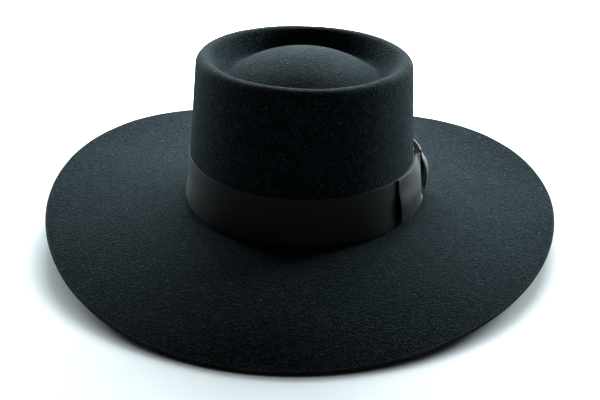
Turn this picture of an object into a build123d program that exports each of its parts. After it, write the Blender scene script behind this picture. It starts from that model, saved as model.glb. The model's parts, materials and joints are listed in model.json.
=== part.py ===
"""Wide-brimmed felt hat with a telescope crown, a grosgrain band and a side bow.

Every piece is modelled upright about the crown's axis: Z runs up through the crown,
-Y is the front of the hat, +X the wearer's left, and z = 0 is the break between brim
and crown. Each piece is then set down on the plane of the resting hat, whose brim
touches the table at the front and at the back.
"""
import os
from math import atan2, cos, degrees, radians, sin

from build123d import *

os.makedirs("parts", exist_ok=True)

# Driving dimensions, mm
OVAL = 1.19  # every horizontal section of the crown: depth divided by width
CROWN_X = 88.6  # half-width of the felt at the foot of the crown
FELT = 2.2  # felt of the brim
CROWN_FELT = 2.0  # felt of the crown
CREST_X = 77.7  # centre of the rounded rim at the top of the crown
CREST_Z = 110.7
CREST_RADIUS = 6.3
CREST_INNER_ANGLE = 145  # where the rim's round ends, from +X
TIP_SLOPE = 12.0  # straight fall from the rim to the groove
GROOVE_RADIUS = 7.0
DOME_SLOPE = 33.8  # where the dome leaves the groove
DOME_Z = 120.0

BRIM_X = 201.1  # half-width and half-depth of the brim
BRIM_Y = 227.2
BRIM_MEAN = -4.8  # droop of the brim's edge, and how it changes round the edge
BRIM_SIDE = 2.9
BRIM_PITCH = 15.2
BRIM_SADDLE = 10.6
BRIM_TWIST = -1.8
BRIM_CURL_X = -0.84
BRIM_CURL_Y = 1.12
BRIM_CORNERS = 16.0  # extra rise of the two corners at the back
BRIM_MARGIN = 1.04  # the brim's sheet runs past its edge before it is trimmed

RIBBON_FOOT = 2.5
RIBBON_HEIGHT = 37.6
RIBBON_TOP = RIBBON_FOOT + RIBBON_HEIGHT
RIBBON = 0.6  # thickness of the grosgrain
RIBBON_IN = CROWN_X + 0.05
RIBBON_OUT = RIBBON_IN + RIBBON

SWEAT_IN = 82.5  # leather sweatband: inner half-width, thickness, height
LEATHER = 1.2
SWEAT_HEIGHT = 44.0
REED_RADIUS = 0.9
SATIN = 0.5

TRIM_FOOT = -80.0  # the blocks that trim the felt start below the brim and end above it
TRIM_HEIGHT = 130.0

# The resting hat: lean to the front or back, lean to the side, height of the crown's foot
PITCH_BACK = 3.36
ROLL_LEFT = 1.8
FOOT_HEIGHT = 15.5
hat = Plane(Location((0, 0.8, FOOT_HEIGHT), (-PITCH_BACK, ROLL_LEFT, 0)))


def oval_point(half_width, angle, z=0.0):
    """Point on the crown's oval of this half-width; the angle runs from +X towards +Y."""
    turn = radians(angle)
    return (half_width * cos(turn), OVAL * half_width * sin(turn), z)


def set_down(upright, label):
    """Put an upright piece on the resting hat's plane and write it."""
    with BuildPart(hat) as piece:
        add(upright)
    piece.part.label = label
    export_step(piece.part, f"parts/{label}.step")


# ---------------------------------------------------------------- felt body
WALL_LEAN = degrees(atan2(CROWN_X - CREST_X - CREST_RADIUS, CREST_Z - RIBBON_TOP))
GROOVE_X = (
    CREST_X
    + (CREST_RADIUS + GROOVE_RADIUS) * cos(radians(CREST_INNER_ANGLE))
    + TIP_SLOPE * cos(radians(CREST_INNER_ANGLE + 90))
)
GROOVE_Z = (
    CREST_Z
    + (CREST_RADIUS + GROOVE_RADIUS) * sin(radians(CREST_INNER_ANGLE))
    + TIP_SLOPE * sin(radians(CREST_INNER_ANGLE + 90))
)


def crown_outline(inset, foot):
    """Half section of the crown, filled to its axis, with its skin moved in by inset."""
    wall_x = CROWN_X - inset
    rim = CenterArc(
        (CREST_X, CREST_Z), CREST_RADIUS - inset, WALL_LEAN, CREST_INNER_ANGLE - WALL_LEAN
    )
    groove = CenterArc(
        (GROOVE_X, GROOVE_Z),
        GROOVE_RADIUS + inset,
        CREST_INNER_ANGLE + 180,
        -(CREST_INNER_ANGLE + 180 - 270 + DOME_SLOPE),
    )
    dome_top = (0, DOME_Z - inset)
    Line(rim @ 1, groove @ 0)
    Spline(groove @ 1, dome_top, tangents=(groove % 1, (-1, 0)))
    Polyline(dome_top, (0, foot), (wall_x, foot), (wall_x, RIBBON_TOP), rim @ 0)


with BuildPart() as crown_block:
    with BuildSketch(Plane.XZ):
        with BuildLine():
            crown_outline(0, -FELT / 2)
        make_face()
    revolve(axis=Axis.Z)
    scale(by=(1, OVAL, 1))

with BuildPart() as head_hollow:
    with BuildSketch(Plane.XZ):
        with BuildLine():
            crown_outline(CROWN_FELT, TRIM_FOOT)
        make_face()
    revolve(axis=Axis.Z)
    scale(by=(1, OVAL, 1))


def brim_height(x, y):
    """Height of the brim's top: nothing at the crown's foot, growing with the oval's square."""
    across, along = x / BRIM_X, y / BRIM_Y
    edge = BRIM_MEAN + BRIM_SIDE * across + BRIM_PITCH * along
    edge += BRIM_SADDLE * (across**2 - along**2) + BRIM_TWIST * 2 * across * along
    edge += BRIM_CURL_X * across * (across**2 - 3 * along**2)
    edge += BRIM_CURL_Y * along * (3 * across**2 - along**2)
    edge += BRIM_CORNERS * across**2 * max(along, 0) ** 2
    reach = (x / CROWN_X) ** 2 + (y / (CROWN_X * OVAL)) ** 2 - 1
    return edge * reach / 4


def table_height(x, y):
    """Height of the table under this point, in the hat's own upright frame."""
    return -(FOOT_HEIGHT + hat.x_dir.Z * x + hat.y_dir.Z * y) / hat.z_dir.Z


SOFTNESS = 1.6  # the felt starts to settle this far above the table


def resting_height(x, y):
    """Brim height with the felt pressed flat where it would sink into the table."""
    clear = brim_height(x, y) - FELT - table_height(x, y)
    if clear < SOFTNESS:
        clear = (max(clear, -SOFTNESS) + SOFTNESS) ** 2 / (4 * SOFTNESS)
    return table_height(x, y) + clear + FELT


HALF_STEPS = 26
STEPS = [BRIM_MARGIN * (step / HALF_STEPS - 1) for step in range(2 * HALF_STEPS + 1)]
brim_top = Face.make_surface_from_array_of_points(
    [
        [Vector(BRIM_X * i, BRIM_Y * j, resting_height(BRIM_X * i, BRIM_Y * j)) for j in STEPS]
        for i in STEPS
    ]
)
brim_sheet = Solid.extrude(brim_top, Vector(0, 0, -FELT))

with BuildPart() as felt_body:
    with BuildSketch(Plane.XY.offset(TRIM_FOOT)):
        Ellipse(BRIM_X, BRIM_Y)
    extrude(amount=TRIM_HEIGHT)
    add(brim_sheet, mode=Mode.INTERSECT)
    add(crown_block.part)
    add(head_hollow.part, mode=Mode.SUBTRACT)


# ---------------------------------------------------------------- band and bow
with BuildPart() as hatband_ribbon:
    with BuildSketch(Plane.XZ):
        with Locations(((RIBBON_IN + RIBBON_OUT) / 2, RIBBON_FOOT + RIBBON_HEIGHT / 2)):
            Rectangle(RIBBON, RIBBON_HEIGHT)
    revolve(axis=Axis.Z)
    scale(by=(1, OVAL, 1))

KNOT_BACK = RIBBON_OUT + 0.1  # the knot passes behind the tab that carries the bow
BACKING_IN = KNOT_BACK + RIBBON + 0.1
BACKING_OUT = BACKING_IN + RIBBON
LOOP_IN = BACKING_OUT + 0.2
LOOP_FOOT = RIBBON_FOOT + 0.4
LOOP_TOP = RIBBON_TOP - 0.8
KNOT_START, KNOT_END = 1.0, 17.0  # where the knot lies round the oval, degrees
LOOP_MIDDLE = (KNOT_START + KNOT_END) / 2
LOOP_REACH = 41.0  # from the middle of the knot to the end of a loop
BACKING_REACH = 30.0
LOOP_FOOT_LIFT = 8.2  # how far a loop stands off beside the knot
LOOP_TOP_LIFT = 2.4


def arc_strip(inner, outer, start, end):
    """Closed outline that follows the oval between two half-widths and two angles."""
    middle = (start + end) / 2
    quarters = [start, (start + middle) / 2, middle, (middle + end) / 2, end]
    Spline(*[oval_point(inner, angle) for angle in quarters])
    Spline(*[oval_point(outer, angle) for angle in quarters])
    Line(oval_point(inner, start), oval_point(outer, start))
    Line(oval_point(inner, end), oval_point(outer, end))


with BuildPart() as bow_backing:
    with BuildSketch(Plane.XY.offset(LOOP_FOOT + 2)):
        with BuildLine():
            arc_strip(
                BACKING_IN, BACKING_OUT, LOOP_MIDDLE - BACKING_REACH, LOOP_MIDDLE + BACKING_REACH
            )
        make_face()
    extrude(amount=LOOP_TOP - LOOP_FOOT - 4)


def loop_outline(side, lift, inset):
    """Plan of a bow loop: out from the knot, round its end and back along the band.

    side is -1 for the front loop and 1 for the rear one, lift is how far the loop
    stands off beside the knot, and inset moves its skin inwards.
    """
    outer = [(2, LOOP_IN + 2.2), (6, LOOP_IN + 1.6 + 0.35 * lift), (10, LOOP_IN + lift)]
    outer.append((22, LOOP_IN + 0.55 * lift))
    outer += [(31, LOOP_IN + 1.4 + 0.2 * lift), (LOOP_REACH - 2, LOOP_IN + 2.2)]
    inner = [(LOOP_REACH - 2, LOOP_IN), (31, LOOP_IN), (22, LOOP_IN), (9, LOOP_IN), (2, LOOP_IN)]
    away = [oval_point(reach - inset, LOOP_MIDDLE + side * angle) for angle, reach in outer]
    back = [oval_point(reach + inset, LOOP_MIDDLE + side * angle) for angle, reach in inner]
    nose = oval_point(LOOP_IN + 1.1, LOOP_MIDDLE + side * (LOOP_REACH - 0.6 * inset))
    Spline(*away)
    ThreePointArc(away[-1], nose, back[0])
    Spline(*back)
    Line(back[-1], away[0])


def bow_loop(side):
    """One loop of the bow; its foot stands further off the crown than its top."""
    with BuildPart() as loop:
        for skin, kind in ((0, Mode.ADD), (RIBBON, Mode.SUBTRACT)):
            with BuildSketch(Plane.XY.offset(LOOP_FOOT)):
                with BuildLine():
                    loop_outline(side, LOOP_FOOT_LIFT, skin)
                make_face()
            with BuildSketch(Plane.XY.offset(LOOP_TOP)):
                with BuildLine():
                    loop_outline(side, LOOP_TOP_LIFT, skin)
                make_face()
            loft(mode=kind)
    return loop.part


KNOT_FOOT, KNOT_TOP = RIBBON_FOOT - 1.4, RIBBON_TOP + 2
KNOT_HIP = 11.15  # how far the knot stands off its back, from its foot up to its shoulder
KNOT_FULL = 13.6
KNOT_SHOULDER = 9.15


def knot_outline(inset):
    """Section of the ribbon wrapped round the bow: flat behind, full in front."""
    back_x = KNOT_BACK + inset
    front_x = KNOT_BACK - inset
    foot, top = (back_x, KNOT_FOOT + inset), (back_x, KNOT_TOP - inset)
    hip = (front_x + KNOT_HIP, KNOT_FOOT + 2.9 + inset)
    full = (front_x + KNOT_FULL, 0.44 * (KNOT_FOOT + KNOT_TOP))
    shoulder = (front_x + KNOT_SHOULDER, KNOT_TOP - 5 - inset)
    Line(foot, top)
    Spline(foot, hip, full, shoulder, top)


with BuildPart() as bow_knot:
    with BuildSketch(Plane.XZ):
        with BuildLine():
            knot_outline(0)
        make_face()
        with BuildLine():
            knot_outline(RIBBON)
        make_face(mode=Mode.SUBTRACT)
    revolve(axis=Axis.Z, revolution_arc=KNOT_END - KNOT_START)
    scale(by=(1, OVAL, 1))


TACK_LENGTH = 2.4  # a thread bar over the loop's edge
TACK_THREAD = 0.35
with BuildPart() as bow_tacks:
    for side in (-1, 1):
        for tack_z in (LOOP_FOOT + 1.6, LOOP_TOP - 1.6):
            angle = LOOP_MIDDLE + side * (LOOP_REACH - 4)
            with Locations(Location(oval_point(LOOP_IN + 2.9, angle, tack_z), (0, 0, angle))):
                Box(TACK_THREAD, TACK_LENGTH, TACK_THREAD)

# ---------------------------------------------------------------- sweatband
REED_X = SWEAT_IN + 1.15  # centre of the reed's section
REED_Z = -0.6
FOLD = 0.5  # leather skived thin where it turns round the reed
SWEAT_FOOT = 0.55  # where the flat of the band starts, above the fold
with BuildPart() as sweatband:
    with BuildSketch(Plane.XZ):
        with Locations((SWEAT_IN + LEATHER / 2, SWEAT_FOOT)):
            Rectangle(LEATHER, SWEAT_HEIGHT, align=(Align.CENTER, Align.MIN))
        with Locations((REED_X, REED_Z)):
            Circle(REED_RADIUS + FOLD)
            Circle(REED_RADIUS, mode=Mode.SUBTRACT)
    revolve(axis=Axis.Z)
    scale(by=(1, OVAL, 1))

with BuildPart() as sweatband_reed:
    with BuildSketch(Plane.XZ):
        with Locations((REED_X, REED_Z)):
            Circle(REED_RADIUS - 0.02)
    revolve(axis=Axis.Z)
    scale(by=(1, OVAL, 1))

STITCHES = 136  # one every four millimetres or so round the head opening
STITCH_LENGTH = 2.5
STITCH_THREAD = 0.3
STITCH_Z = 3.0
with BuildPart() as sweatband_stitching:
    for number in range(STITCHES):
        angle = 360 * number / STITCHES
        heading = degrees(atan2(sin(radians(angle)), OVAL * cos(radians(angle))))
        seat = oval_point(SWEAT_IN - 0.2, angle, STITCH_Z)
        with Locations(Location(seat, (0, 0, heading))):
            Box(STITCH_THREAD, STITCH_LENGTH, STITCH_THREAD)

SEAT = SWEAT_IN - 0.15  # what is sewn to the sweatband's face lies just clear of it
SEAM_ANGLE = 90  # the sweatband closes at the middle of the back, under a little bow
half, waist = 11.0, 2.0
low, high = 5.0, 13.0
neck_low, neck_high = 7.4, 10.6
with BuildPart() as sweatband_back_bow:
    with BuildSketch():
        with BuildLine():
            arc_strip(SEAT - 1.15, SEAT, SEAM_ANGLE - 8, SEAM_ANGLE + 8)
        make_face()
    extrude(amount=20)
    with BuildSketch(Plane.XZ.offset(-120)):
        with BuildLine():
            Polyline(
                (-half, low), (-half, high), (-waist, neck_high), (waist, neck_high),
                (half, high), (half, low), (waist, neck_low), (-waist, neck_low), close=True,
            )
        make_face()
    extrude(amount=60, mode=Mode.INTERSECT)

TAG_FOOT, TAG_HEIGHT = 27.0, 13.0
with BuildPart() as size_tag:
    with BuildSketch(Plane.XY.offset(TAG_FOOT)):
        with BuildLine():
            arc_strip(SEAT - 0.3, SEAT, SEAM_ANGLE + 22, SEAM_ANGLE + 40)
        make_face()
    extrude(amount=TAG_HEIGHT)

# ---------------------------------------------------------------- lining
LINING_X = CROWN_X - CROWN_FELT - 1.85  # outer half-width of the satin at the foot
LINING_FOOT = 14.0
LINING_TOP = 96.0
LINING_LEAN = 0.06657  # how far the satin draws in for each millimetre of height
LINING_TOP_X = LINING_X - (LINING_TOP - RIBBON_TOP) * LINING_LEAN
with BuildPart() as lining_side:
    with BuildSketch(Plane.XZ):
        with BuildLine():
            Polyline(
                (LINING_X, LINING_FOOT),
                (LINING_X, RIBBON_TOP),
                (LINING_TOP_X, LINING_TOP),
                (LINING_TOP_X - SATIN, LINING_TOP),
                (LINING_X - SATIN, RIBBON_TOP),
                (LINING_X - SATIN, LINING_FOOT),
                close=True,
            )
        make_face()
    revolve(axis=Axis.Z)
    scale(by=(1, OVAL, 1))

PIPING_RADIUS = 0.9
PIPING_X = LINING_TOP_X - PIPING_RADIUS
with BuildPart() as lining_piping:
    with BuildSketch(Plane.XZ):
        with Locations((PIPING_X, LINING_TOP + PIPING_RADIUS + 0.1)):
            Circle(PIPING_RADIUS)
    revolve(axis=Axis.Z)
    scale(by=(1, OVAL, 1))

TIP_EDGE_X = PIPING_X - PIPING_RADIUS - 0.1
TIP_EDGE_Z = LINING_TOP
TIP_RISE = 5.6
with BuildPart() as lining_tip:
    with BuildSketch(Plane.XZ):
        with BuildLine():
            Line((0, TIP_EDGE_Z + TIP_RISE), (0, TIP_EDGE_Z + TIP_RISE - SATIN))
            Spline(
                (0, TIP_EDGE_Z + TIP_RISE - SATIN), (TIP_EDGE_X, TIP_EDGE_Z - SATIN),
                tangents=((1, 0), (1, -2 * TIP_RISE / TIP_EDGE_X)),
            )
            Line((TIP_EDGE_X, TIP_EDGE_Z - SATIN), (TIP_EDGE_X, TIP_EDGE_Z))
            Spline(
                (0, TIP_EDGE_Z + TIP_RISE), (TIP_EDGE_X, TIP_EDGE_Z),
                tangents=((1, 0), (1, -2 * TIP_RISE / TIP_EDGE_X)),
            )
        make_face()
    revolve(axis=Axis.Z)
    scale(by=(1, OVAL, 1))

# ---------------------------------------------------------------- set down and write
set_down(felt_body.part, "felt_body")
set_down(hatband_ribbon.part, "hatband_ribbon")
set_down(bow_backing.part, "bow_backing")
set_down(bow_loop(-1), "bow_front_loop")
set_down(bow_loop(1), "bow_rear_loop")
set_down(bow_knot.part, "bow_knot")
set_down(bow_tacks.part, "bow_tacks")
set_down(sweatband.part, "sweatband")
set_down(sweatband_reed.part, "sweatband_reed")
set_down(sweatband_stitching.part, "sweatband_stitching")
set_down(sweatband_back_bow.part, "sweatband_back_bow")
set_down(size_tag.part, "size_tag")
set_down(lining_side.part, "lining_side")
set_down(lining_tip.part, "lining_tip")
set_down(lining_piping.part, "lining_piping")
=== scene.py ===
"""Looks of the wide-brimmed felt hat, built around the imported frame.

Every soft piece is first worked out upright, about the crown's axis (Z up through the
crown, -Y the front, +X the wearer's left, z = 0 at the break between brim and crown)
and then set down on the plane of the resting hat. Lengths are in millimetres until
they are set down, and in metres from there on.
"""
import json
import math

import bpy
import numpy as np
from mathutils import Matrix, Vector, noise


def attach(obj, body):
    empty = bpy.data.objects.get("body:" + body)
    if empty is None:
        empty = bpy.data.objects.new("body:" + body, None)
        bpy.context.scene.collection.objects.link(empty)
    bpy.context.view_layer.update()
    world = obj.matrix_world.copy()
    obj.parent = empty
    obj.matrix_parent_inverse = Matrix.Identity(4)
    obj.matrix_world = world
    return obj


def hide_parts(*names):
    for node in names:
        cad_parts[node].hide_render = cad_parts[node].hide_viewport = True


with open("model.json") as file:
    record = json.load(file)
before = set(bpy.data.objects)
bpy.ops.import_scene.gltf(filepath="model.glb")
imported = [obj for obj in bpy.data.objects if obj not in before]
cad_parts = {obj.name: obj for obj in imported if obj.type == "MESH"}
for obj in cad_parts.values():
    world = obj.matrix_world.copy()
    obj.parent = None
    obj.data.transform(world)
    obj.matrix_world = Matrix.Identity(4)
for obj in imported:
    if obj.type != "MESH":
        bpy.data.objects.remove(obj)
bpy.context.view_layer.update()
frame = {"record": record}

MM = 0.001

# ---------------------------------------------------------------- the hat's plane
opening = next(m for m in frame["record"]["mounts"] if m["name"] == "head_opening")
HAT_ORIGIN = np.array(opening["pos_m"])
HAT_UP = -np.array(opening["axis"])
HAT_BACK = np.array([0, HAT_UP[2], -HAT_UP[1]])
HAT_BACK = HAT_BACK / np.linalg.norm(HAT_BACK)
HAT_SIDE = np.cross(HAT_BACK, HAT_UP)
HAT_AXES = np.stack([HAT_SIDE, HAT_BACK, HAT_UP])


def set_down(points):
    """Upright millimetres to metres in the row's frame."""
    return np.asarray(points, float) * MM @ HAT_AXES + HAT_ORIGIN


# ---------------------------------------------------------------- sizes, as in the CAD, mm
OVAL = 1.19
CROWN_X = 88.6
FELT = 2.2
CROWN_FELT = 2.0
CREST_X, CREST_Z, CREST_RADIUS = 77.7, 110.7, 6.3
CREST_INNER_ANGLE = 145
TIP_SLOPE = 12.0
GROOVE_RADIUS = 7.0
DOME_SLOPE = 33.8
DOME_Z = 120.0
BRIM_X, BRIM_Y = 201.1, 227.2
BRIM_MEAN, BRIM_SIDE, BRIM_PITCH = -4.8, 2.9, 15.2
BRIM_SADDLE, BRIM_TWIST = 10.6, -1.8
BRIM_CORNERS = 16.0
BRIM_CURL_X, BRIM_CURL_Y = -0.84, 1.12
SOFTNESS = 1.6
RIBBON_FOOT = 2.5
RIBBON_HEIGHT = 37.6
RIBBON_TOP = RIBBON_FOOT + RIBBON_HEIGHT
RIBBON = 0.6
RIBBON_IN = CROWN_X + 0.05
RIBBON_OUT = RIBBON_IN + RIBBON
SWEAT_IN, LEATHER = 82.5, 1.2
SATIN = 0.5

WALL_LEAN = math.degrees(math.atan2(CROWN_X - CREST_X - CREST_RADIUS, CREST_Z - RIBBON_TOP))
INNER = math.radians(CREST_INNER_ANGLE)
GROOVE_X = CREST_X + (CREST_RADIUS + GROOVE_RADIUS) * math.cos(INNER) - TIP_SLOPE * math.sin(INNER)
GROOVE_Z = CREST_Z + (CREST_RADIUS + GROOVE_RADIUS) * math.sin(INNER) + TIP_SLOPE * math.cos(INNER)


def wave(points, size, seed=0.0):
    """Smooth noise from -1 to 1 at each point; size is the length of its swells."""
    shift = Vector((seed * 17.3, seed * 5.9, seed * 11.7))
    flat = np.asarray(points, float).reshape(-1, 3) / size
    values = [noise.noise(Vector(p) + shift) for p in flat]
    return np.array(values).reshape(np.shape(points)[:-1])


# ---------------------------------------------------------------- mesh making
def mesh_object(name, points, faces, body="root"):
    """A piece from upright points in millimetres; it rides on the hat's one body."""
    mesh = bpy.data.meshes.new(name)
    mesh.from_pydata(set_down(points).tolist(), [], [list(map(int, f)) for f in faces])
    mesh.validate()
    mesh.shade_smooth()
    piece = bpy.data.objects.new(name, mesh)
    bpy.context.scene.collection.objects.link(piece)
    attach(piece, body)
    return piece


def grid_faces(rows, columns, wrap_rows=False, wrap_columns=False, start=0):
    """Quads of a grid whose points are numbered row by row."""
    i = np.arange(rows if wrap_rows else rows - 1)
    j = np.arange(columns if wrap_columns else columns - 1)
    i, j = np.meshgrid(i, j, indexing="ij")
    i, j = i.ravel(), j.ravel()
    after_i, after_j = (i + 1) % rows, (j + 1) % columns
    quads = np.stack(
        [i * columns + j, after_i * columns + j, after_i * columns + after_j, i * columns + after_j]
    )
    return quads.T + start


def closed_by_poles(rows, first, last):
    """Rings of points closed by a point at each end."""
    count, around = rows.shape[:2]
    faces = grid_faces(count, around, wrap_columns=True).tolist()
    skin = rows.reshape(-1, 3)
    end = (count - 1) * around
    for j in range(around):
        after = (j + 1) % around
        faces += [[len(skin), j, after], [len(skin) + 1, end + after, end + j]]
    return np.concatenate([skin, [first, last]]), faces


def float_attribute(piece, name, values):
    """A number at each point of the mesh, for its material to read."""
    made = piece.data.attributes.new(name, "FLOAT", "POINT")
    made.data.foreach_set("value", np.asarray(values, np.float32).ravel())


# ---------------------------------------------------------------- camera, light and floor
CAMERA_AIM = Vector((-0.0005, 0.003, 0.009))
CAMERA_DISTANCE = 0.855
CAMERA_AZIMUTH = 1.88
CAMERA_ELEVATION = 26.3
CAMERA_ROLL = -0.24
FOCAL_LENGTH = 62.59


def make_camera():
    azimuth, elevation = math.radians(CAMERA_AZIMUTH), math.radians(CAMERA_ELEVATION)
    back = Vector(
        (
            math.sin(azimuth) * math.cos(elevation),
            -math.cos(azimuth) * math.cos(elevation),
            math.sin(elevation),
        )
    )
    data = bpy.data.cameras.new("camera")
    data.lens = FOCAL_LENGTH
    data.sensor_width = 36
    camera = bpy.data.objects.new("camera", data)
    camera.location = CAMERA_AIM + back * CAMERA_DISTANCE
    look = (-back).to_track_quat("-Z", "Y").to_matrix().to_4x4()
    roll = math.radians(CAMERA_ROLL)
    look = look @ Matrix.Rotation(roll, 4, "Z")
    camera.rotation_euler = look.to_euler()
    bpy.context.scene.collection.objects.link(camera)
    bpy.context.scene.camera = camera


make_camera()


DAYLIGHT = (0.87, 0.97, 1.0)
ROOM_DARK, ROOM_BRIGHT = 0.02, 2.4  # strength of the room's light, in front and behind
ROOM_START = 0.08  # how far towards the back the room starts to brighten
FLOOR_HALF = 6.0
FLOOR_SHADE = 0.88
# name, place, the point it looks at, width and height, watts
LIGHTS = [
    ("back", (0.05, 0.78, 0.46), (0, 0, 0), (1.0, 0.3), 26),
    ("side_left", (-1.15, 1.0, 0.36), (0, 0, 0.08), (0.6, 0.3), 15),
    ("side_right", (1.2, 0.9, 0.36), (0, 0, 0.08), (0.6, 0.3), 28),
]


def make_room():
    """A white room that is bright behind the hat and dark in front of it."""
    scene = bpy.context.scene
    scene.view_settings.view_transform = "Standard"
    scene.view_settings.look = "Medium High Contrast"
    world = bpy.data.worlds.new("studio")
    scene.world = world
    world.use_nodes = True
    nodes, links = world.node_tree.nodes, world.node_tree.links
    background = nodes["Background"]
    where = nodes.new("ShaderNodeTexCoord")
    split = nodes.new("ShaderNodeSeparateXYZ")
    ramp = nodes.new("ShaderNodeMapRange")
    links.new(where.outputs["Generated"], split.inputs[0])
    links.new(split.outputs["Y"], ramp.inputs["Value"])
    ramp.inputs["From Min"].default_value = ROOM_START
    ramp.inputs["From Max"].default_value = 1.0
    ramp.inputs["To Min"].default_value = ROOM_DARK
    ramp.inputs["To Max"].default_value = ROOM_BRIGHT
    links.new(ramp.outputs[0], background.inputs["Strength"])
    background.inputs["Color"].default_value = (*DAYLIGHT, 1)


def make_floor():
    mesh = bpy.data.meshes.new("floor")
    half = FLOOR_HALF
    mesh.from_pydata(
        [(-half, -half, 0), (half, -half, 0), (half, half, 0), (-half, half, 0)], [], [(0, 1, 2, 3)]
    )
    floor = bpy.data.objects.new("floor", mesh)
    bpy.context.scene.collection.objects.link(floor)
    paint = bpy.data.materials.new("floor_white")
    paint.use_nodes = True
    shader = paint.node_tree.nodes["Principled BSDF"]
    shader.inputs["Base Color"].default_value = (FLOOR_SHADE, FLOOR_SHADE, FLOOR_SHADE, 1)
    shader.inputs["Roughness"].default_value = 0.9
    mesh.materials.append(paint)


def area_light(name, place, aim, size, watts):
    data = bpy.data.lights.new(name, "AREA")
    data.shape = "RECTANGLE"
    data.size, data.size_y = size
    data.energy = watts
    data.color = DAYLIGHT
    light = bpy.data.objects.new(name, data)
    light.location = place
    light.rotation_euler = (Vector(aim) - Vector(place)).to_track_quat("-Z", "Y").to_euler()
    bpy.context.scene.collection.objects.link(light)


make_room()
make_floor()
for settings in LIGHTS:
    area_light(*settings)


# ---------------------------------------------------------------- material helpers
class Nodes:
    """A material's node tree, with short ways to add and join nodes."""

    def __init__(self, name):
        self.material = bpy.data.materials.new(name)
        self.material.use_nodes = True
        self.tree = self.material.node_tree
        self.shader = self.tree.nodes["Principled BSDF"]

    def add(self, kind, **settings):
        node = self.tree.nodes.new("ShaderNode" + kind)
        for key, value in settings.items():
            setattr(node, key, value)
        return node

    def join(self, source, target):
        self.tree.links.new(source, target)

    def place(self):
        return self.add("TexCoord").outputs["Object"]

    def noise(self, where, scale, detail=3.0, rough=0.5):
        node = self.add("TexNoise")
        node.inputs["Scale"].default_value = scale
        node.inputs["Detail"].default_value = detail
        node.inputs["Roughness"].default_value = rough
        self.join(where, node.inputs["Vector"])
        return node.outputs["Fac"]

    def wander(self, where, reach):
        """The place, shifted a little by noise, so that cells get ragged edges."""
        stray = self.add("TexNoise")
        stray.inputs["Scale"].default_value = 900
        self.join(where, stray.inputs["Vector"])
        shift = self.add("VectorMath", operation="MULTIPLY_ADD")
        self.join(stray.outputs["Color"], shift.inputs[0])
        shift.inputs[1].default_value = (reach, reach, reach)
        self.join(where, shift.inputs[2])
        return shift.outputs[0]

    def ramp(self, value, low, high, to_low=0.0, to_high=1.0):
        node = self.add("MapRange")
        for key, number in (
            ("From Min", low), ("From Max", high), ("To Min", to_low), ("To Max", to_high)
        ):
            node.inputs[key].default_value = number
        self.join(value, node.inputs["Value"])
        return node.outputs["Result"]

    def maths(self, operation, a, b):
        node = self.add("Math", operation=operation)
        for socket, value in zip(node.inputs, (a, b)):
            if isinstance(value, (int, float)):
                socket.default_value = value
            else:
                self.join(value, socket)
        return node.outputs[0]

    def mix(self, factor, a, b):
        node = self.add("Mix", data_type="RGBA")
        for socket, value in ((node.inputs[0], factor), (node.inputs[6], a), (node.inputs[7], b)):
            if isinstance(value, (int, float)):
                socket.default_value = value
            elif isinstance(value, tuple):
                socket.default_value = (*value, 1)
            else:
                self.join(value, socket)
        return node.outputs[2]

    def bump(self, height, strength, distance, under=None):
        node = self.add("Bump")
        node.inputs["Strength"].default_value = strength
        node.inputs["Distance"].default_value = distance
        self.join(height, node.inputs["Height"])
        if under is not None:
            self.join(under, node.inputs["Normal"])
        return node.outputs["Normal"]

    def attribute(self, name):
        return self.add("Attribute", attribute_name=name).outputs["Fac"]

    def set(self, **values):
        for key, value in values.items():
            socket = self.shader.inputs[key.replace("_", " ").title().replace("Ior", "IOR")]
            if isinstance(value, (int, float)):
                socket.default_value = value
            elif isinstance(value, tuple):
                socket.default_value = (*value, 1)
            else:
                self.join(value, socket)


def felt_material():
    n = Nodes("black_fur_felt")
    where = n.place()
    clouds = n.noise(where, 9, 4)
    nap = n.noise(where, 640, 5, 0.74)
    tufts = n.add("TexVoronoi")
    tufts.inputs["Scale"].default_value = 760
    n.join(n.wander(where, 0.0012), tufts.inputs["Vector"])
    tuft = tufts.outputs["Color"]
    fine = n.noise(where, 1500, 3, 0.65)
    colour = n.mix(n.ramp(clouds, 0.35, 0.65), (0.0009, 0.0024, 0.0031), (0.0034, 0.0070, 0.0086))
    colour = n.mix(n.ramp(nap, 0.50, 0.66, 0, 0.7), colour, (0.020, 0.031, 0.036))
    colour = n.mix(n.ramp(tuft, 0.5, 0.85, 0, 0.8), colour, (0.024, 0.037, 0.042))
    colour = n.mix(n.ramp(nap, 0.47, 0.36, 0, 0.85), colour, (0.0005, 0.0012, 0.0017))
    lint = None
    for scale, size, floor_chance in ((420, 0.19, 0.60), (170, 0.10, 0.56), (60, 0.05, 0.50)):
        specks = n.add("TexVoronoi")
        specks.inputs["Scale"].default_value = scale
        n.join(where, specks.inputs["Vector"])
        spot = n.ramp(specks.outputs["Distance"], size, size * 0.4)
        chance = n.ramp(n.noise(where, scale * 0.6, 1), floor_chance, floor_chance + 0.06)
        spot = n.maths("MULTIPLY", spot, chance)
        lint = spot if lint is None else n.maths("MAXIMUM", lint, spot)
    colour = n.mix(lint, colour, (0.15, 0.17, 0.18))
    # lighter at the cut edge, where the felt is really worn, and a painted highlight on the crown's
    # rim and dome top
    colour = n.mix(n.attribute("worn_and_lit"), colour, (0.050, 0.047, 0.040))
    normal = n.bump(nap, 0.9, 0.0015)
    normal = n.bump(tufts.outputs["Distance"], 0.8, 0.0008, normal)
    normal = n.bump(fine, 0.5, 0.0003, normal)
    n.set(base_color=colour, roughness=0.95, normal=normal)
    n.shader.inputs["Specular IOR Level"].default_value = 0.04
    n.shader.inputs["Sheen Weight"].default_value = 0.14
    n.shader.inputs["Sheen Roughness"].default_value = 0.34
    n.shader.inputs["Sheen Tint"].default_value = (0.72, 0.92, 1.0, 1)
    return n.material


FELT_MATERIAL = felt_material()


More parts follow.
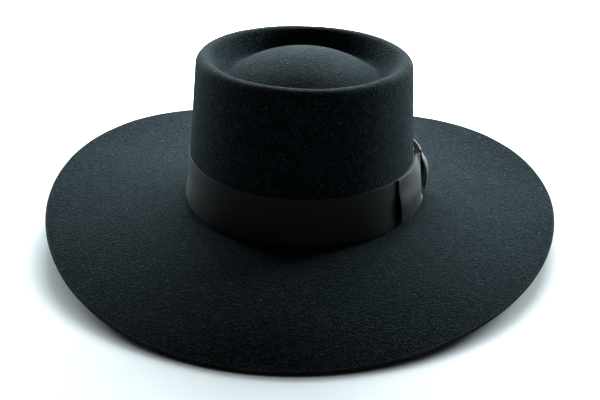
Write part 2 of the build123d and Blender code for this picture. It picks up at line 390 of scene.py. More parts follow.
# ---------------------------------------------------------------- felt body
def arc(centre, radius, start, end, count):
    """Points of an arc, angles in degrees."""
    turn = np.radians(np.linspace(start, end, count))
    return np.stack([centre[0] + radius * np.cos(turn), centre[1] + radius * np.sin(turn)], 1)


def hermite(a, slope_a, b, slope_b, count):
    """A curve from a to b that leaves and arrives along the two slopes."""
    t = np.linspace(0, 1, count)[:, None]
    a, b, slope_a, slope_b = (np.array(v, float) for v in (a, b, slope_a, slope_b))
    return (
        (2 * t**3 - 3 * t**2 + 1) * a
        + (t**3 - 2 * t**2 + t) * slope_a
        + (-2 * t**3 + 3 * t**2) * b
        + (t**3 - t**2) * slope_b
    )


def crown_section(inset, foot):
    """Half section of the crown's skin from the dome's middle to the wall's foot."""
    groove_turn = CREST_INNER_ANGLE + 180
    groove = arc(
        (GROOVE_X, GROOVE_Z), GROOVE_RADIUS + inset, 270 - DOME_SLOPE, groove_turn, 16
    )
    slope = math.radians(DOME_SLOPE)
    reach = groove[0][0]
    dome = hermite(
        (0, DOME_Z - inset), (reach, 0), groove[0],
        (reach * math.cos(slope), -reach * math.sin(slope)), 34,
    )
    rim = arc((CREST_X, CREST_Z), CREST_RADIUS - inset, CREST_INNER_ANGLE, WALL_LEAN, 22)
    fall = np.linspace(groove[-1], rim[0], 8)[1:-1]
    wall_x = CROWN_X - inset
    wall = np.linspace(rim[-1], (wall_x, RIBBON_TOP), 34)[1:-1]
    low = np.linspace((wall_x, RIBBON_TOP), (wall_x, foot), 14)
    return np.concatenate([dome[:-1], groove, fall, rim, wall, low])


def brim_height(x, y):
    """Height of the brim's top, as the CAD has it."""
    across, along = x / BRIM_X, y / BRIM_Y
    edge = BRIM_MEAN + BRIM_SIDE * across + BRIM_PITCH * along
    edge = edge + BRIM_SADDLE * (across**2 - along**2) + BRIM_TWIST * 2 * across * along
    edge = edge + BRIM_CURL_X * across * (across**2 - 3 * along**2)
    edge = edge + BRIM_CURL_Y * along * (3 * across**2 - along**2)
    edge = edge + BRIM_CORNERS * across**2 * np.maximum(along, 0) ** 2
    free = edge * ((x / CROWN_X) ** 2 + (y / (CROWN_X * OVAL)) ** 2 - 1) / 4
    foot_height = HAT_ORIGIN[2] / MM
    table = -(foot_height + HAT_SIDE[2] * x + HAT_BACK[2] * y) / HAT_UP[2]
    clear = free - FELT - table
    pressed = (np.clip(clear, -SOFTNESS, SOFTNESS) + SOFTNESS) ** 2 / (4 * SOFTNESS)
    return table + np.where(clear < SOFTNESS, pressed, clear) + FELT


TURNS = 384  # points round the hat
FILLET = 2.2  # round where the crown meets the brim
EDGE_ROUND = 0.7  # the cut edge's worn corners
EDGE_WEAR = 1.5  # how far in from the cut edge the felt is worn
INNER_ROUND = 0.8  # round inside, where the crown meets the brim's underside
# hand-blocked felt is never quite even: height, length and seed of its swells
SWELLS = ((0.55, 70, 1), (0.16, 17, 2), (0.05, 5, 3))


def painted_crown_light(half_width, height):
    """Painted highlight on the crown's rim and the top of its dome, standing in for the light from
    behind that brightens them.
    """
    rim = math.exp(-(((height - CREST_Z - CREST_RADIUS) / 4.5) ** 2)) * (half_width > CREST_X - 8)
    dome = max(0.0, 1 - (half_width / 48) ** 2)
    return 0.3 * rim + 0.16 * dome


def felt_rows():
    """Rings of points over the felt's whole skin, each with how much lighter its felt is: real wear
    at the cut edge, painted highlight on the crown's rim and dome top.
    """
    turn = np.linspace(0, 2 * math.pi, TURNS, endpoint=False)
    around = np.stack([np.cos(turn), np.sin(turn)], 1)
    rows, worn_and_lit = [], []

    def oval(half_width, z, wear_and_light=0.0):
        x, y = half_width * around[:, 0], half_width * OVAL * around[:, 1]
        rows.append(np.stack([x, y, np.broadcast_to(z, x.shape)], 1))
        worn_and_lit.append(wear_and_light)

    def brim(share, out, drop, wear_and_light):
        """A ring of the brim; share runs from the crown's foot to the edge."""
        start = (CROWN_X + FILLET) * np.array([1, OVAL])
        end = np.array([BRIM_X, BRIM_Y])
        spot = (start + (end - start) * share + out) * around
        rows.append(np.column_stack([spot, brim_height(spot[:, 0], spot[:, 1]) - drop]))
        worn_and_lit.append(wear_and_light)

    for b, z in crown_section(0, FILLET)[1:]:
        # the crown's rim and dome top get a painted highlight
        oval(b, z, painted_crown_light(b, z))
    for step in np.radians(np.linspace(0, 90, 6))[1:-1]:
        oval(CROWN_X + FILLET * (1 - math.cos(step)), FILLET * (1 - math.sin(step)))
    for share in np.linspace(0, 1, 62)[:-1]:
        brim(share, 0, 0, 0)
    brim(1, -EDGE_WEAR, 0, 0.35)
    for step in np.radians(np.linspace(90, 0, 5)):
        out, drop = EDGE_ROUND * (math.cos(step) - 1), EDGE_ROUND * (1 - math.sin(step))
        brim(1, out, drop, 0.8)
    for step in np.radians(np.linspace(0, 90, 5)):
        out, drop = EDGE_ROUND * (math.cos(step) - 1), FELT - EDGE_ROUND * (1 - math.sin(step))
        brim(1, out, drop, 0.8)
    brim(1, -EDGE_WEAR, FELT, 0.2)
    for share in np.linspace(1, 0, 46)[1:]:
        brim(share, 0, FELT, 0)
    inner = CROWN_X - CROWN_FELT
    oval(CROWN_X, -FELT)
    oval(inner + INNER_ROUND, -FELT)
    oval(inner, -FELT + INNER_ROUND)
    for b, z in crown_section(CROWN_FELT, 0)[::-1][:-1]:
        oval(b, z)
    return np.array(rows), np.array(worn_and_lit)


def make_felt():
    rows, worn_and_lit = felt_rows()
    points, faces = closed_by_poles(rows, (0, 0, DOME_Z), (0, 0, DOME_Z - CROWN_FELT))
    # how much lighter the felt is, in patches: real wear at the cut edge, and a painted highlight
    # on the crown's rim and dome top
    patch = 0.6 + 0.8 * wave(rows.reshape(-1, 3), 26, 4)
    wear_and_light = np.clip(np.repeat(worn_and_lit, TURNS) * patch, 0, 1)
    swell = sum(height * wave(points, length, seed) for height, length, seed in SWELLS)
    # only the brim and the crown's top are loose enough to swell, and not where they rest
    radius = np.hypot(points[:, 0], points[:, 1] / OVAL)
    loose = np.clip((radius - CROWN_X - 6) / 60, 0, 1) + np.clip((points[:, 2] - 60) / 50, 0, 1)
    near_table = np.clip((set_down(points)[:, 2] - 0.003) / 0.006, 0, 1)
    points[:, 2] += swell * np.clip(loose, 0, 1) * near_table
    piece = mesh_object("felt", points, faces)
    float_attribute(piece, "worn_and_lit", np.concatenate([wear_and_light, [0.05, 0]]))
    piece.data.materials.append(FELT_MATERIAL)
    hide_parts("felt_body")


# ---------------------------------------------------------------- woven and sewn sheets
RIB_PITCH = 1.8  # from one rib of the grosgrain to the next
RIB_STEPS = 8  # points over one rib
RIB_STEP = RIB_PITCH / RIB_STEPS
RIB_DEPTH = 0.22
# places across a selvedge, and how thick it is at each beside the rest of the ribbon
SELVEDGE = np.array([0, 0.15, 0.4, 0.8, 1.3, 1.8])
BEAD = [0.4, 0.8, 1.0, 1.05, 1, 1]
SCALLOP = 0.12  # how far each rib swells the selvedge


def smooth(keys, values, at):
    """A smooth curve through the values at the keys; values may be points or rows of points."""
    keys, values = np.asarray(keys, float), np.asarray(values, float)
    slopes = np.gradient(values, keys, axis=0)
    i = np.clip(np.searchsorted(keys, at) - 1, 0, len(keys) - 2)
    span = keys[i + 1] - keys[i]
    t = (at - keys[i]) / span
    shape = (-1,) + (1,) * (values.ndim - 1)
    t, span = t.reshape(shape), span.reshape(shape)
    return (
        (2 * t**3 - 3 * t**2 + 1) * values[i]
        + (t**3 - 2 * t**2 + t) * span * slopes[i]
        + (3 * t**2 - 2 * t**3) * values[i + 1]
        + (t**3 - t**2) * span * slopes[i + 1]
    )


def on_oval(half_width, degrees, z):
    """Points round the crown's oval; the angle runs from +X towards +Y."""
    turn = np.radians(degrees)
    half_width, turn, z = np.broadcast_arrays(half_width, turn, z)
    return np.stack([half_width * np.cos(turn), OVAL * half_width * np.sin(turn), z], -1)


def even_steps(path, step, multiple=1):
    """A surface's columns rebuilt at even steps along its length, columns first."""
    gaps = np.linalg.norm(np.diff(path, axis=0), axis=-1).mean(axis=-1)
    reach = np.concatenate([[0], np.cumsum(gaps)])
    count = max(round(reach[-1] / step / multiple), 1) * multiple
    return smooth(reach, path, np.linspace(0, reach[-1], count + 1))


def thick_sheet(middle, half, closed=False):
    """A closed skin on both sides of a middle surface, given column by column."""
    if closed:
        along = np.roll(middle, -1, 0) - np.roll(middle, 1, 0)
    else:
        along = np.gradient(middle, axis=0)
    normal = np.cross(along, np.gradient(middle, axis=1))
    normal /= np.linalg.norm(normal, axis=2, keepdims=True)
    half = np.broadcast_to(half, middle.shape[:2])[..., None]
    front, back = middle + normal * half, middle - normal * half
    ring = np.concatenate([front, back[:, ::-1]], axis=1)
    columns, around = ring.shape[:2]
    faces = grid_faces(columns, around, wrap_rows=closed, wrap_columns=True).tolist()
    if not closed:
        last = (columns - 1) * around
        for j in range(around // 2 - 1):
            cap = [j, j + 1, around - 2 - j, around - 1 - j]
            faces += [cap, [last + k for k in reversed(cap)]]
    return ring.reshape(-1, 3), faces


def join_parts(parts):
    """One skin from several."""
    points, faces, start = [], [], 0
    for part_points, part_faces in parts:
        points.append(part_points)
        faces += [[start + k for k in face] for face in part_faces]
        start += len(part_points)
    return np.concatenate(points), faces


def ribbon_rows(width, inner_rows):
    """Places across a ribbon from 0 to its width, close together at the two selvedges."""
    inner = np.linspace(SELVEDGE[-1], width - SELVEDGE[-1], inner_rows)[1:-1]
    return np.concatenate([SELVEDGE, inner, width - SELVEDGE[::-1]])


def grosgrain(middle, rows, closed=False):
    """A ribbed ribbon on a middle surface; rows are the places across it."""
    from_edge = np.minimum(rows, rows[-1] - rows)
    bead = np.interp(from_edge, SELVEDGE, BEAD)
    rib = np.abs(np.sin(math.pi * np.arange(len(middle)) / RIB_STEPS)) ** 0.8
    half = (RIBBON - RIB_DEPTH) / 2 * bead + rib[:, None] * RIB_DEPTH / 2
    scallop = SCALLOP * (rib - 0.5)
    outward = middle[:, 0] - middle[:, 1], middle[:, -1] - middle[:, -2]
    for row, away in zip((0, -1), outward):
        away = away / np.linalg.norm(away, axis=1, keepdims=True)
        middle[:, row] += away * scallop[:, None]
    return thick_sheet(middle, half, closed)


def tube(path, radius, sides=8):
    """A thread along a short path, drawn in at both ends."""
    path = np.asarray(path, float)
    along = np.gradient(path, axis=0)
    along /= np.linalg.norm(along, axis=1, keepdims=True)
    out = path * np.array([1, 1, 0])
    out /= np.linalg.norm(out, axis=1, keepdims=True)
    up = np.cross(along, out)
    turn = np.linspace(0, 2 * math.pi, sides, endpoint=False)[:, None]
    taper = np.sin(np.linspace(0.18, math.pi - 0.18, len(path))) ** 0.35
    rings = [
        p + radius * k * (np.cos(turn) * o + np.sin(turn) * u)
        for p, k, o, u in zip(path, taper, out, up)
    ]
    faces = grid_faces(len(path), sides, wrap_columns=True).tolist()
    last = (len(path) - 1) * sides
    faces += [list(range(sides)), list(range(last, last + sides))]
    return np.concatenate(rings), faces


# ---------------------------------------------------------------- materials of the trim
def ribbon_material():
    n = Nodes("black_grosgrain")
    where = n.place()
    fine = n.noise(where, 1500, 2, 0.6)
    cloud = n.noise(where, 30, 3)
    colour = n.mix(n.ramp(cloud, 0.3, 0.7), (0.0018, 0.0027, 0.0031), (0.0034, 0.0046, 0.0050))
    colour = n.mix(n.ramp(fine, 0.5, 0.75, 0, 0.5), colour, (0.022, 0.025, 0.026))
    rough = n.ramp(fine, 0.3, 0.7, 0.5, 0.66)
    normal = n.bump(fine, 0.3, 0.0001)
    n.set(base_color=colour, roughness=rough, normal=normal)
    n.shader.inputs["Specular IOR Level"].default_value = 0.24
    n.shader.inputs["Sheen Weight"].default_value = 0.10
    n.shader.inputs["Sheen Roughness"].default_value = 0.35
    return n.material


def leather_material():
    n = Nodes("sweatband_leather")
    where = n.place()
    pores = n.add("TexVoronoi")
    pores.feature = "DISTANCE_TO_EDGE"
    pores.inputs["Scale"].default_value = 700
    n.join(where, pores.inputs["Vector"])
    creases = n.ramp(pores.outputs["Distance"], 0.0, 0.09)
    stain = n.noise(where, 25, 4)
    colour = n.mix(n.ramp(stain, 0.3, 0.7), (0.012, 0.011, 0.010), (0.022, 0.020, 0.018))
    colour = n.mix(creases, (0.007, 0.0065, 0.006), colour)
    rough = n.ramp(n.noise(where, 300, 3), 0.3, 0.7, 0.42, 0.58)
    normal = n.bump(creases, 0.5, 0.00012)
    normal = n.bump(n.noise(where, 90, 3), 0.25, 0.0004, normal)
    n.set(base_color=colour, roughness=rough, normal=normal)
    return n.material


def satin_material(name, dark, light):
    n = Nodes(name)
    where = n.place()
    weave = n.add("TexWave")
    weave.bands_direction = "DIAGONAL"
    weave.inputs["Scale"].default_value = 900
    weave.inputs["Distortion"].default_value = 1.5
    n.join(where, weave.inputs["Vector"])
    cloud = n.noise(where, 45, 4)
    colour = n.mix(n.ramp(cloud, 0.3, 0.7), dark, light)
    rough = n.ramp(n.noise(where, 400, 2), 0.3, 0.7, 0.28, 0.40)
    normal = n.bump(weave.outputs["Fac"], 0.15, 0.00006)
    n.set(base_color=colour, roughness=rough, normal=normal)
    n.shader.inputs["Sheen Weight"].default_value = 0.2
    return n.material


def thread_material(name, dark, light):
    n = Nodes(name)
    where = n.place()
    twist = n.noise(where, 3500, 2)
    colour = n.mix(n.ramp(twist, 0.35, 0.65), dark, light)
    n.set(base_color=colour, roughness=0.6, normal=n.bump(twist, 0.6, 0.00008))
    n.shader.inputs["Sheen Weight"].default_value = 0.15
    return n.material


RIBBON_MATERIAL = ribbon_material()
LEATHER_MATERIAL = leather_material()
SATIN_MATERIAL = satin_material("black_satin", (0.012, 0.012, 0.013), (0.024, 0.024, 0.026))
TAG_MATERIAL = satin_material("tag_woven", (0.45, 0.44, 0.41), (0.55, 0.54, 0.50))
THREAD_MATERIAL = thread_material("black_thread", (0.010, 0.010, 0.011), (0.04, 0.04, 0.042))
REED_MATERIAL = thread_material("reed_plastic", (0.25, 0.23, 0.19), (0.32, 0.30, 0.25))


def finish_piece(name, skin, node, material):
    piece = mesh_object(name, *skin)
    piece.data.materials.append(material)
    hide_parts(node)
    return piece


# ---------------------------------------------------------------- band
BAND_FLARE = 0.8  # the felt's foot flares, and the ribbon with it
FLARE_HEIGHT = 24.0
SIDE_FLARE = 2.3  # more so at the side away from the bow, where it also rides up
SIDE_RISE = 1.6
SIDE_ANGLE, SIDE_SPREAD = 188.0, 34.0


def make_band():
    rows = ribbon_rows(RIBBON_HEIGHT, 14)
    angles = np.linspace(0, 360, 721)[:, None]
    low = np.clip(1 - rows / FLARE_HEIGHT, 0, 1)
    low = low * low * (3 - 2 * low)
    side = np.exp(-(((angles - SIDE_ANGLE) / SIDE_SPREAD) ** 2))
    z = RIBBON_FOOT + rows[None, :] + SIDE_RISE * side * (1 - rows / RIBBON_HEIGHT)
    reach = RIBBON_IN + RIBBON / 2 + 0.05 + (BAND_FLARE + SIDE_FLARE * side) * low
    middle = even_steps(on_oval(reach, angles, z), RIB_STEP, RIB_STEPS)[:-1]
    swell = 0.12 * wave(middle, 30, 11)
    middle[..., :2] *= (1 + swell / CROWN_X)[..., None]
    piece = finish_piece(
        "hatband", grosgrain(middle, rows, closed=True), "hatband_ribbon",
        RIBBON_MATERIAL,
    )


# ---------------------------------------------------------------- bow
BOW_MIDDLE = 9.0  # the knot's middle round the oval, degrees
KNOT_HALF = 8.0
LOOP_REACH = 42.0
LOOP_WIDTH = 36.4
LOOPS = ((-1, "front", 1.0), (1, "rear", 0.94))  # side of the knot, name, fullness
LAYER = 0.75  # from one layer of folded ribbon to the next
LOOP_SEAT = 1.95  # where a loop's under layer lies on the tab, out from the band's face
LOOP_ANGLES = [2, 6, 9, 14, 20, 27, 34, 40, 42]
# how far a loop's outer layer stands off the band at those angles, from its foot to its top
LOOP_SHAPE = {
    0.00: [5.0, 7.0, 9.4, 8.9, 7.4, 5.9, 4.8, 3.6, 3.0],
    0.18: [4.0, 4.4, 4.9, 6.4, 7.5, 6.8, 5.4, 4.2, 3.7],
    0.45: [4.1, 4.8, 5.6, 6.9, 7.1, 6.2, 4.9, 3.9, 3.4],
    0.70: [3.5, 4.5, 5.6, 5.5, 4.8, 3.6, 2.6, 2.1, 1.8],
    1.00: [2.4, 3.4, 5.0, 1.5, 1.5, 1.5, 1.5, 1.5, 1.5],
}
LOOP_FOOTS = [9, 6.5, 3.6, 2.9, 2.9, 2.9, 2.9, 3.0, 3.2]
LOOP_TOPS = [31, 34, 39.8, 40.2, 40.0, 39.8, 40.1, 40.2, 40.1]
LOOP_SLANT = 3.4  # the end of a loop reaches this many degrees further at its top
TACK_ANGLE = 37.0
TACK_INSET = 2.2  # from a loop's edge to its tack, and half the dimple that the tack pulls
DIMPLE_DEPTH = 0.7


def loop_reach(out, share, fullness):
    """How far a loop's outer layer stands off the band, by angle and by share of its height."""
    shape = np.array([smooth(LOOP_ANGLES, LOOP_SHAPE[key], out) for key in LOOP_SHAPE])
    reach = smooth(list(LOOP_SHAPE), shape, share).T
    return 2 * LAYER + (reach - 2 * LAYER) * fullness


def loop_surface(side, fullness):
    """Middle surface of a bow loop: out over its face, round its end and back beneath."""
    rows = ribbon_rows(LOOP_WIDTH, 14)
    share = rows / LOOP_WIDTH
    out = np.concatenate([np.linspace(2, 9, 15)[:-1], np.linspace(9, LOOP_REACH, 45)])
    reach = loop_reach(out, share, fullness)
    foot, top = smooth(LOOP_ANGLES, LOOP_FOOTS, out), smooth(LOOP_ANGLES, LOOP_TOPS, out)
    z = foot[:, None] + (top - foot)[:, None] * share
    slant = LOOP_SLANT * (share - 0.25) * ((out / LOOP_REACH) ** 3)[:, None]
    angle = out[:, None] + slant
    for tack_z in (LOOP_FOOTS[-1] + TACK_INSET, LOOP_TOPS[-1] - TACK_INSET):
        dimple = ((angle - TACK_ANGLE) / 1.8) ** 2 + ((z - tack_z) / TACK_INSET) ** 2
        reach = reach - DIMPLE_DEPTH * np.exp(-dimple) * np.clip(reach - 2 * LAYER, 0, 1)
    lifted = np.clip((out - 22) / 17, 0, 1)[:, None] ** 1.5
    beneath = np.minimum(LOOP_SEAT + lifted * (reach - LAYER - LOOP_SEAT), reach - LAYER)
    nose = on_oval(
        RIBBON_OUT + (reach[-1] + beneath[-1]) / 2, BOW_MIDDLE + side * (angle[-1] + 0.22), z[-1]
    )
    face = on_oval(RIBBON_OUT + reach, BOW_MIDDLE + side * angle, z)
    under = on_oval(RIBBON_OUT + beneath, BOW_MIDDLE + side * angle, z)[::-1]
    path = np.concatenate([face, nose[None], under])
    return even_steps(path, RIB_STEP), rows


def make_loops():
    for side, word, fullness in LOOPS:
        middle, rows = loop_surface(side, fullness)
        middle[..., :2] *= (1 + 0.25 * wave(middle, 16, 20 + side) / CROWN_X)[..., None]
        piece = finish_piece(
            f"bow_{word}", grosgrain(middle, rows), f"bow_{word}_loop",
            RIBBON_MATERIAL,
        )


KNOT_WIDTH = math.radians(2 * KNOT_HALF) * 98 * OVAL * 0.93  # the oval's arc under the knot
KNOT_CINCH = 3.2  # how far the knot's two edges are drawn in at its fullest
# out from the band's face and height, once round the knot's ribbon from its back
KNOT_SECTION = [
    (0.45, 20), (0.45, 8), (0.9, 2.6), (3.5, 1.3), (8.0, 1.4), (11.8, 3.6), (13.8, 9), (14.4, 16),
    (13.9, 23), (12.0, 29.5), (8.9, 34.6), (6.6, 38.4), (5.4, 40.8), (4.9, 41.3), (4.4, 40.4),
    (4.1, 37.0), (3.4, 34.4), (2.5, 33.6), (1.7, 34.4), (1.1, 37.0), (0.8, 40.4), (0.6, 41.0),
    (0.45, 38), (0.45, 20),
]


def make_knot():
    rows = ribbon_rows(KNOT_WIDTH, 12)
    share = rows / KNOT_WIDTH
    section = np.array(KNOT_SECTION, float)
    gaps = np.linalg.norm(np.diff(section, axis=0), axis=1)
    keys = np.concatenate([[0], np.cumsum(gaps)])
    section = smooth(keys, section, np.linspace(0, keys[-1], 240))
    off, height = section[:, :1], section[:, 1:]
    full = np.clip((off - 4) / 8, 0, 1)
    edge = np.clip(1 - np.minimum(share, 1 - share) / 0.24, 0, 1)
    pleats = 0.25 * np.cos(6 * math.pi * share)
    # the rim at the top stands further out at the front than at the rear
    rim = np.exp(-(((height - 41) / 3.5) ** 2)) * np.clip((off - 2.5) / 2, 0, 1)
    reach = RIBBON_OUT + off + full * (-KNOT_CINCH * edge**2 + pleats) + rim * (1.2 - 1.8 * share)
    angle = BOW_MIDDLE - KNOT_HALF + 2 * KNOT_HALF * share
    angle = angle + 0.8 * (0.5 - share) * np.clip((height - 26) / 15, 0, 1)
    path = on_oval(reach, angle, height + np.zeros_like(reach))
    middle = even_steps(path, RIB_STEP, RIB_STEPS)[:-1]
    skin = grosgrain(middle, rows, closed=True)
    piece = finish_piece("bow_wrap", skin, "bow_knot", RIBBON_MATERIAL)


TAB_WIDTH, TAB_FOOT = 32.4, 4.9
TAB_REACH = 30  # degrees each way from the knot's middle
TAB_SEAT = 1.1  # its middle layer, out from the band's face


def make_backing():
    rows = ribbon_rows(TAB_WIDTH, 12)
    angles = BOW_MIDDLE + np.linspace(-TAB_REACH, TAB_REACH, 121)[:, None]
    path = on_oval(RIBBON_OUT + TAB_SEAT, angles, TAB_FOOT + rows[None, :])
    skin = grosgrain(even_steps(path, RIB_STEP), rows)
    piece = finish_piece("bow_tab", skin, "bow_backing", RIBBON_MATERIAL)


TACK_HALF = 1.1
TACK_THREAD = 0.17
TACK_PASSES = (-0.4, 0, 0.4)
TACK_PLACES = ((0.07, 4.9), (0.93, 36.2))  # share of the loop's height, and height


def make_tacks():
    """Three passes of thread over each outer corner of the bow."""
    parts = []
    for side, _, fullness in LOOPS:
        for share, low in TACK_PLACES:
            spots = np.linspace(-TACK_HALF, TACK_HALF, 7)
            reach = RIBBON_OUT + loop_reach([TACK_ANGLE], [share], fullness)[0, 0]
            arch = 0.25 * (1 - (spots / TACK_HALF) ** 2) - 0.15
            angle = BOW_MIDDLE + side * TACK_ANGLE + np.degrees(spots / (OVAL * reach))
            for lane in TACK_PASSES:
                path = on_oval(reach + arch, angle, low + lane + 0.3 * spots)
                parts.append(tube(path, TACK_THREAD))
    finish_piece("bow_tack_threads", join_parts(parts), "bow_tacks", THREAD_MATERIAL)


# ---------------------------------------------------------------- sweatband and its trim
REED_X, REED_Z, REED_RADIUS = 83.65, -0.6, 0.88
FOLD_RADIUS = 1.15  # of the leather round the reed
TOOLED_LINES = (38.8, 41.0)  # heights of the two lines pressed into the leather
SEAM = 90.0  # the sweatband closes at the middle of the back


def round_hat(extra=()):
    """Angles all round the hat, with closer ones beside any seam."""
    return np.unique(np.concatenate([np.linspace(0, 360, TURNS, endpoint=False), extra]))


def make_sweatband():
    angles = round_hat(SEAM + np.array([-1, -0.6, -0.35, -0.2, -0.1, 0.1, 0.2, 0.35, 0.6, 1]))
    around = arc((REED_X, REED_Z), FOLD_RADIUS, 20, -180, 16)
    lines = np.array([38.2, 38.5, 38.8, 39.1, 39.4, 40.4, 40.7, 41.0, 41.3, 41.6])
    heights = np.unique(np.concatenate([np.linspace(2, 44.2, 30), lines, [44.4, 44.5]]))
    face = np.column_stack([np.full(len(heights), SWEAT_IN + LEATHER / 2), heights])
    section = np.concatenate([around, [(82.75, 0.8)], face])
    skived = ([-2, 0.4, 3, 43.6, 44.3, 44.5], [0.24, 0.26, 0.55, 0.55, 0.42, 0.2])
    half = np.interp(section[:, 1], *skived)
    for line in TOOLED_LINES:
        half = half - 0.14 * np.exp(-(((section[:, 1] - line) / 0.22) ** 2))
    middle = on_oval(section[None, :, 0], angles[:, None], section[None, :, 1])
    loose = np.clip((section[:, 1] - 12) / 32, 0, 1) ** 2
    ease = (0.5 + wave(middle, 38, 31)) * loose
    middle[..., :2] *= (1 - np.clip(ease, 0, 1.2) * 0.9 / SWEAT_IN)[..., None]
    seam = 1 - 0.45 * np.exp(-(((angles - SEAM) / 0.22) ** 2))
    skin = thick_sheet(middle, half * seam[:, None], closed=True)
    piece = finish_piece("sweatband_leather", skin, "sweatband", LEATHER_MATERIAL)


def ring_of(section_x, section_z, radius, sides=14, ripple=0.0, twists=0):
    """A round cord that follows the crown's oval, with an optional twist on its skin."""
    angles = np.linspace(0, 360, 2 * TURNS, endpoint=False)[:, None]
    turn = np.linspace(0, 2 * math.pi, sides, endpoint=False)[None, :]
    swell = radius * (1 + ripple * np.sin(3 * turn + twists * np.radians(angles)))
    points = on_oval(section_x + swell * np.cos(turn), angles, section_z + swell * np.sin(turn))
    faces = grid_faces(2 * TURNS, sides, wrap_rows=True, wrap_columns=True).tolist()
    return points.reshape(-1, 3), faces


def make_reed():
    skin = ring_of(REED_X, REED_Z, REED_RADIUS)
    finish_piece("reed", skin, "sweatband_reed", REED_MATERIAL)


STITCHES = 136
STITCH_HALF, STITCH_Z, STITCH_THREAD = 1.25, 3.0, 0.16


def make_stitches():
    spots = np.linspace(-STITCH_HALF, STITCH_HALF, 7)
    arch = SWEAT_IN + 0.1 - 0.32 * np.sqrt(np.clip(1 - (spots / STITCH_HALF) ** 2, 0, 1))
    parts = []
    for number in range(STITCHES):
        angle = 360 * number / STITCHES + np.degrees(spots / SWEAT_IN / 1.1)
        parts.append(tube(on_oval(arch, angle, STITCH_Z + 0.12 * spots), STITCH_THREAD))
    skin = join_parts(parts)
    finish_piece("stitches", skin, "sweatband_stitching", THREAD_MATERIAL)


BACK_BOW_HALF, BACK_BOW_Z = 11.0, 9.0


def back_bow_wings():
    across = np.linspace(-BACK_BOW_HALF, BACK_BOW_HALF, 97)[:, None]
    rows = np.linspace(-1, 1, 19)[None, :]
    out = np.abs(across) / BACK_BOW_HALF
    height = 1.5 + 2.5 * out**0.8
    lift = 0.75 * np.sin(math.pi * np.clip(out, 0, 1)) ** 0.8
    pleat = 0.22 * np.cos(3 * math.pi * rows) * (1 - out)
    reach = SWEAT_IN - 0.65 - lift - pleat
    z = BACK_BOW_Z + height * rows * (1 - 0.06 * np.cos(2 * math.pi * out))
    angle = SEAM - np.degrees(across / (OVAL * SWEAT_IN)) * OVAL
    return thick_sheet(on_oval(reach, angle, z), 0.16)


def back_bow_wrap():
    turn = np.linspace(0, 2 * math.pi, 40, endpoint=False)[:, None]
    rows = np.linspace(-1.7, 1.7, 13)[None, :]
    swell = 1 + 0.05 * np.cos(4 * rows)
    reach = SWEAT_IN - 0.85 + 0.55 * np.cos(turn) * swell
    z = BACK_BOW_Z + 2.1 * np.sin(turn) * swell
    angle = SEAM - np.degrees(rows / SWEAT_IN)
    return thick_sheet(on_oval(reach, angle, z), 0.14, closed=True)


def make_back_bow():
    """A flat little bow over the sweatband's seam: one folded ribbon and its wrap."""
    skin = join_parts([back_bow_wings(), back_bow_wrap()])
    piece = finish_piece("back_bow", skin, "sweatband_back_bow", RIBBON_MATERIAL)


TAG_ANGLES = 112, 130
TAG_HEIGHTS = 27, 40


def make_tag():
    """A blank woven tag, held along its top, with its foot curled off the leather."""
    angles = np.linspace(*TAG_ANGLES, 60)[:, None]
    heights = np.linspace(*TAG_HEIGHTS, 30)[None, :]
    curl = 0.9 * np.clip((33 - heights) / 6, 0, 1) ** 2
    wavy = 0.15 * np.sin(np.radians(angles) * 40)
    reach = SWEAT_IN - 0.3 - curl - wavy * np.clip((36 - heights) / 9, 0, 1)
    skin = thick_sheet(on_oval(reach, angles, heights), 0.12)
    piece = finish_piece("tag", skin, "size_tag", TAG_MATERIAL)


# ---------------------------------------------------------------- lining
LINING_X = CROWN_X - CROWN_FELT - 1.85
LINING_FOOT, LINING_TOP = 14.0, 96.0
LINING_LEAN = 0.06657  # how far the satin draws in for each millimetre of height
LINING_TOP_X = LINING_X - (LINING_TOP - RIBBON_TOP) * LINING_LEAN
PIPING_RADIUS = 0.9
TIP_RISE = 5.6


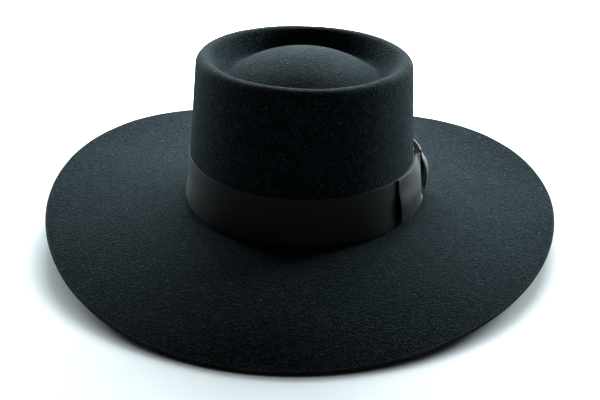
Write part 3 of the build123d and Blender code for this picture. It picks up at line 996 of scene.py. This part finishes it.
def make_lining_side():
    angles = np.linspace(0, 360, 3 * TURNS, endpoint=False)[:, None]
    heights = np.concatenate([np.linspace(LINING_FOOT, 90, 44), np.linspace(91, LINING_TOP, 8)])
    wall = ([LINING_FOOT, RIBBON_TOP, LINING_TOP], [LINING_X, LINING_X, LINING_TOP_X])
    outer = np.interp(heights, *wall)
    middle = on_oval(outer[None, :] - SATIN / 2, angles, heights[None, :])
    ring = on_oval(np.full(1, CROWN_X), angles, np.zeros(1))
    folds = np.clip(wave(ring, 9, 41) + 0.15, 0, 1) ** 0.7
    gathers = np.clip(wave(ring, 3.5, 42), 0, 1)
    slack = np.interp(heights, [LINING_FOOT, 44, 70, 90, LINING_TOP], [0.2, 0.8, 1.6, 1.0, 0])
    pinch = np.interp(heights, [80, 92, LINING_TOP], [0, 0.7, 0.1])
    drape = 0.3 * np.clip(wave(middle, 14, 43), 0, 1)
    inward = folds * slack[None, :] + gathers * pinch[None, :] + drape
    middle[..., :2] *= (1 - inward / CROWN_X)[..., None]
    skin = thick_sheet(middle, 0.16, closed=True)
    piece = finish_piece("lining_wall", skin, "lining_side", SATIN_MATERIAL)


def make_lining_tip():
    edge = LINING_TOP_X - 2 * PIPING_RADIUS - 0.1
    share = np.linspace(0.02, 1, 56)
    turn = np.linspace(0, 360, TURNS, endpoint=False)[None, :]
    rise = TIP_RISE * (1 - share**2)

    def side(drop):
        rings = on_oval((edge * share)[:, None], turn, (LINING_TOP + rise - drop)[:, None])
        ripple = 0.35 * wave(rings, 11, 51) + 0.15 * wave(rings, 4, 52)
        rings[..., 2] += ripple * np.sin(math.pi * np.clip(share, 0, 1))[:, None]
        return rings

    rows = np.concatenate([side(0), side(SATIN)[::-1]])
    peak = LINING_TOP + TIP_RISE
    skin = closed_by_poles(rows, (0, 0, peak), (0, 0, peak - SATIN))
    piece = finish_piece("lining_crown", skin, "lining_tip", SATIN_MATERIAL)


def make_piping():
    centre = LINING_TOP_X - PIPING_RADIUS
    skin = ring_of(centre, LINING_TOP + PIPING_RADIUS + 0.1, PIPING_RADIUS, 12, 0.06, 160)
    finish_piece("piping", skin, "lining_piping", SATIN_MATERIAL)


make_felt()
make_band()
make_loops()
make_knot()
make_backing()
make_tacks()
make_sweatband()
make_reed()
make_stitches()
make_back_bow()
make_tag()
make_lining_side()
make_lining_tip()
make_piping()
